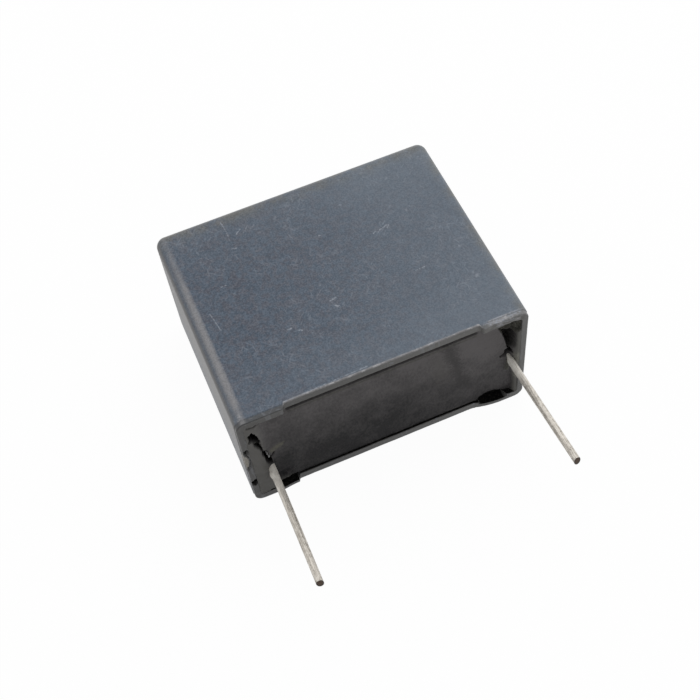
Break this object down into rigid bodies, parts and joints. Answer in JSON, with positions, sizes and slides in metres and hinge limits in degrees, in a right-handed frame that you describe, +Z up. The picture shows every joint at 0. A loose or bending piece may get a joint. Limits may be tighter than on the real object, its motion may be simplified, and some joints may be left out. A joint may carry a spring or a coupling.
{
  "type": "box film capacitor",
  "caption": "Box film capacitor: a sealed dark plastic case closed with resin at its lead side, with straight tinned wire leads for a circuit board.",
  "frame": {"origin": "the middle of the lower broad face, the face that the part lies on, level with the middle of the case's height", "axes": "+X along the row of the two leads, -Y the way the leads point, +Y towards the closed end, +Z up through the thickness"},
  "size_m": [0.0316, 0.0393, 0.0159],
  "materials": {
    "case_plastic": "satin",
    "epoxy": "satin",
    "film": "gloss",
    "zinc": "matte",
    "solder": "satin",
    "tinned_wire": "satin"
  },
  "bodies": {
    "root": {"case": "case_plastic", "potting": "epoxy", "winding": "film", "end_spray_left": "zinc", "end_spray_right": "zinc", "solder_joint_left": "solder", "solder_joint_right": "solder", "lead_left": "tinned_wire", "lead_right": "tinned_wire"}
  },
  "joints": []
}
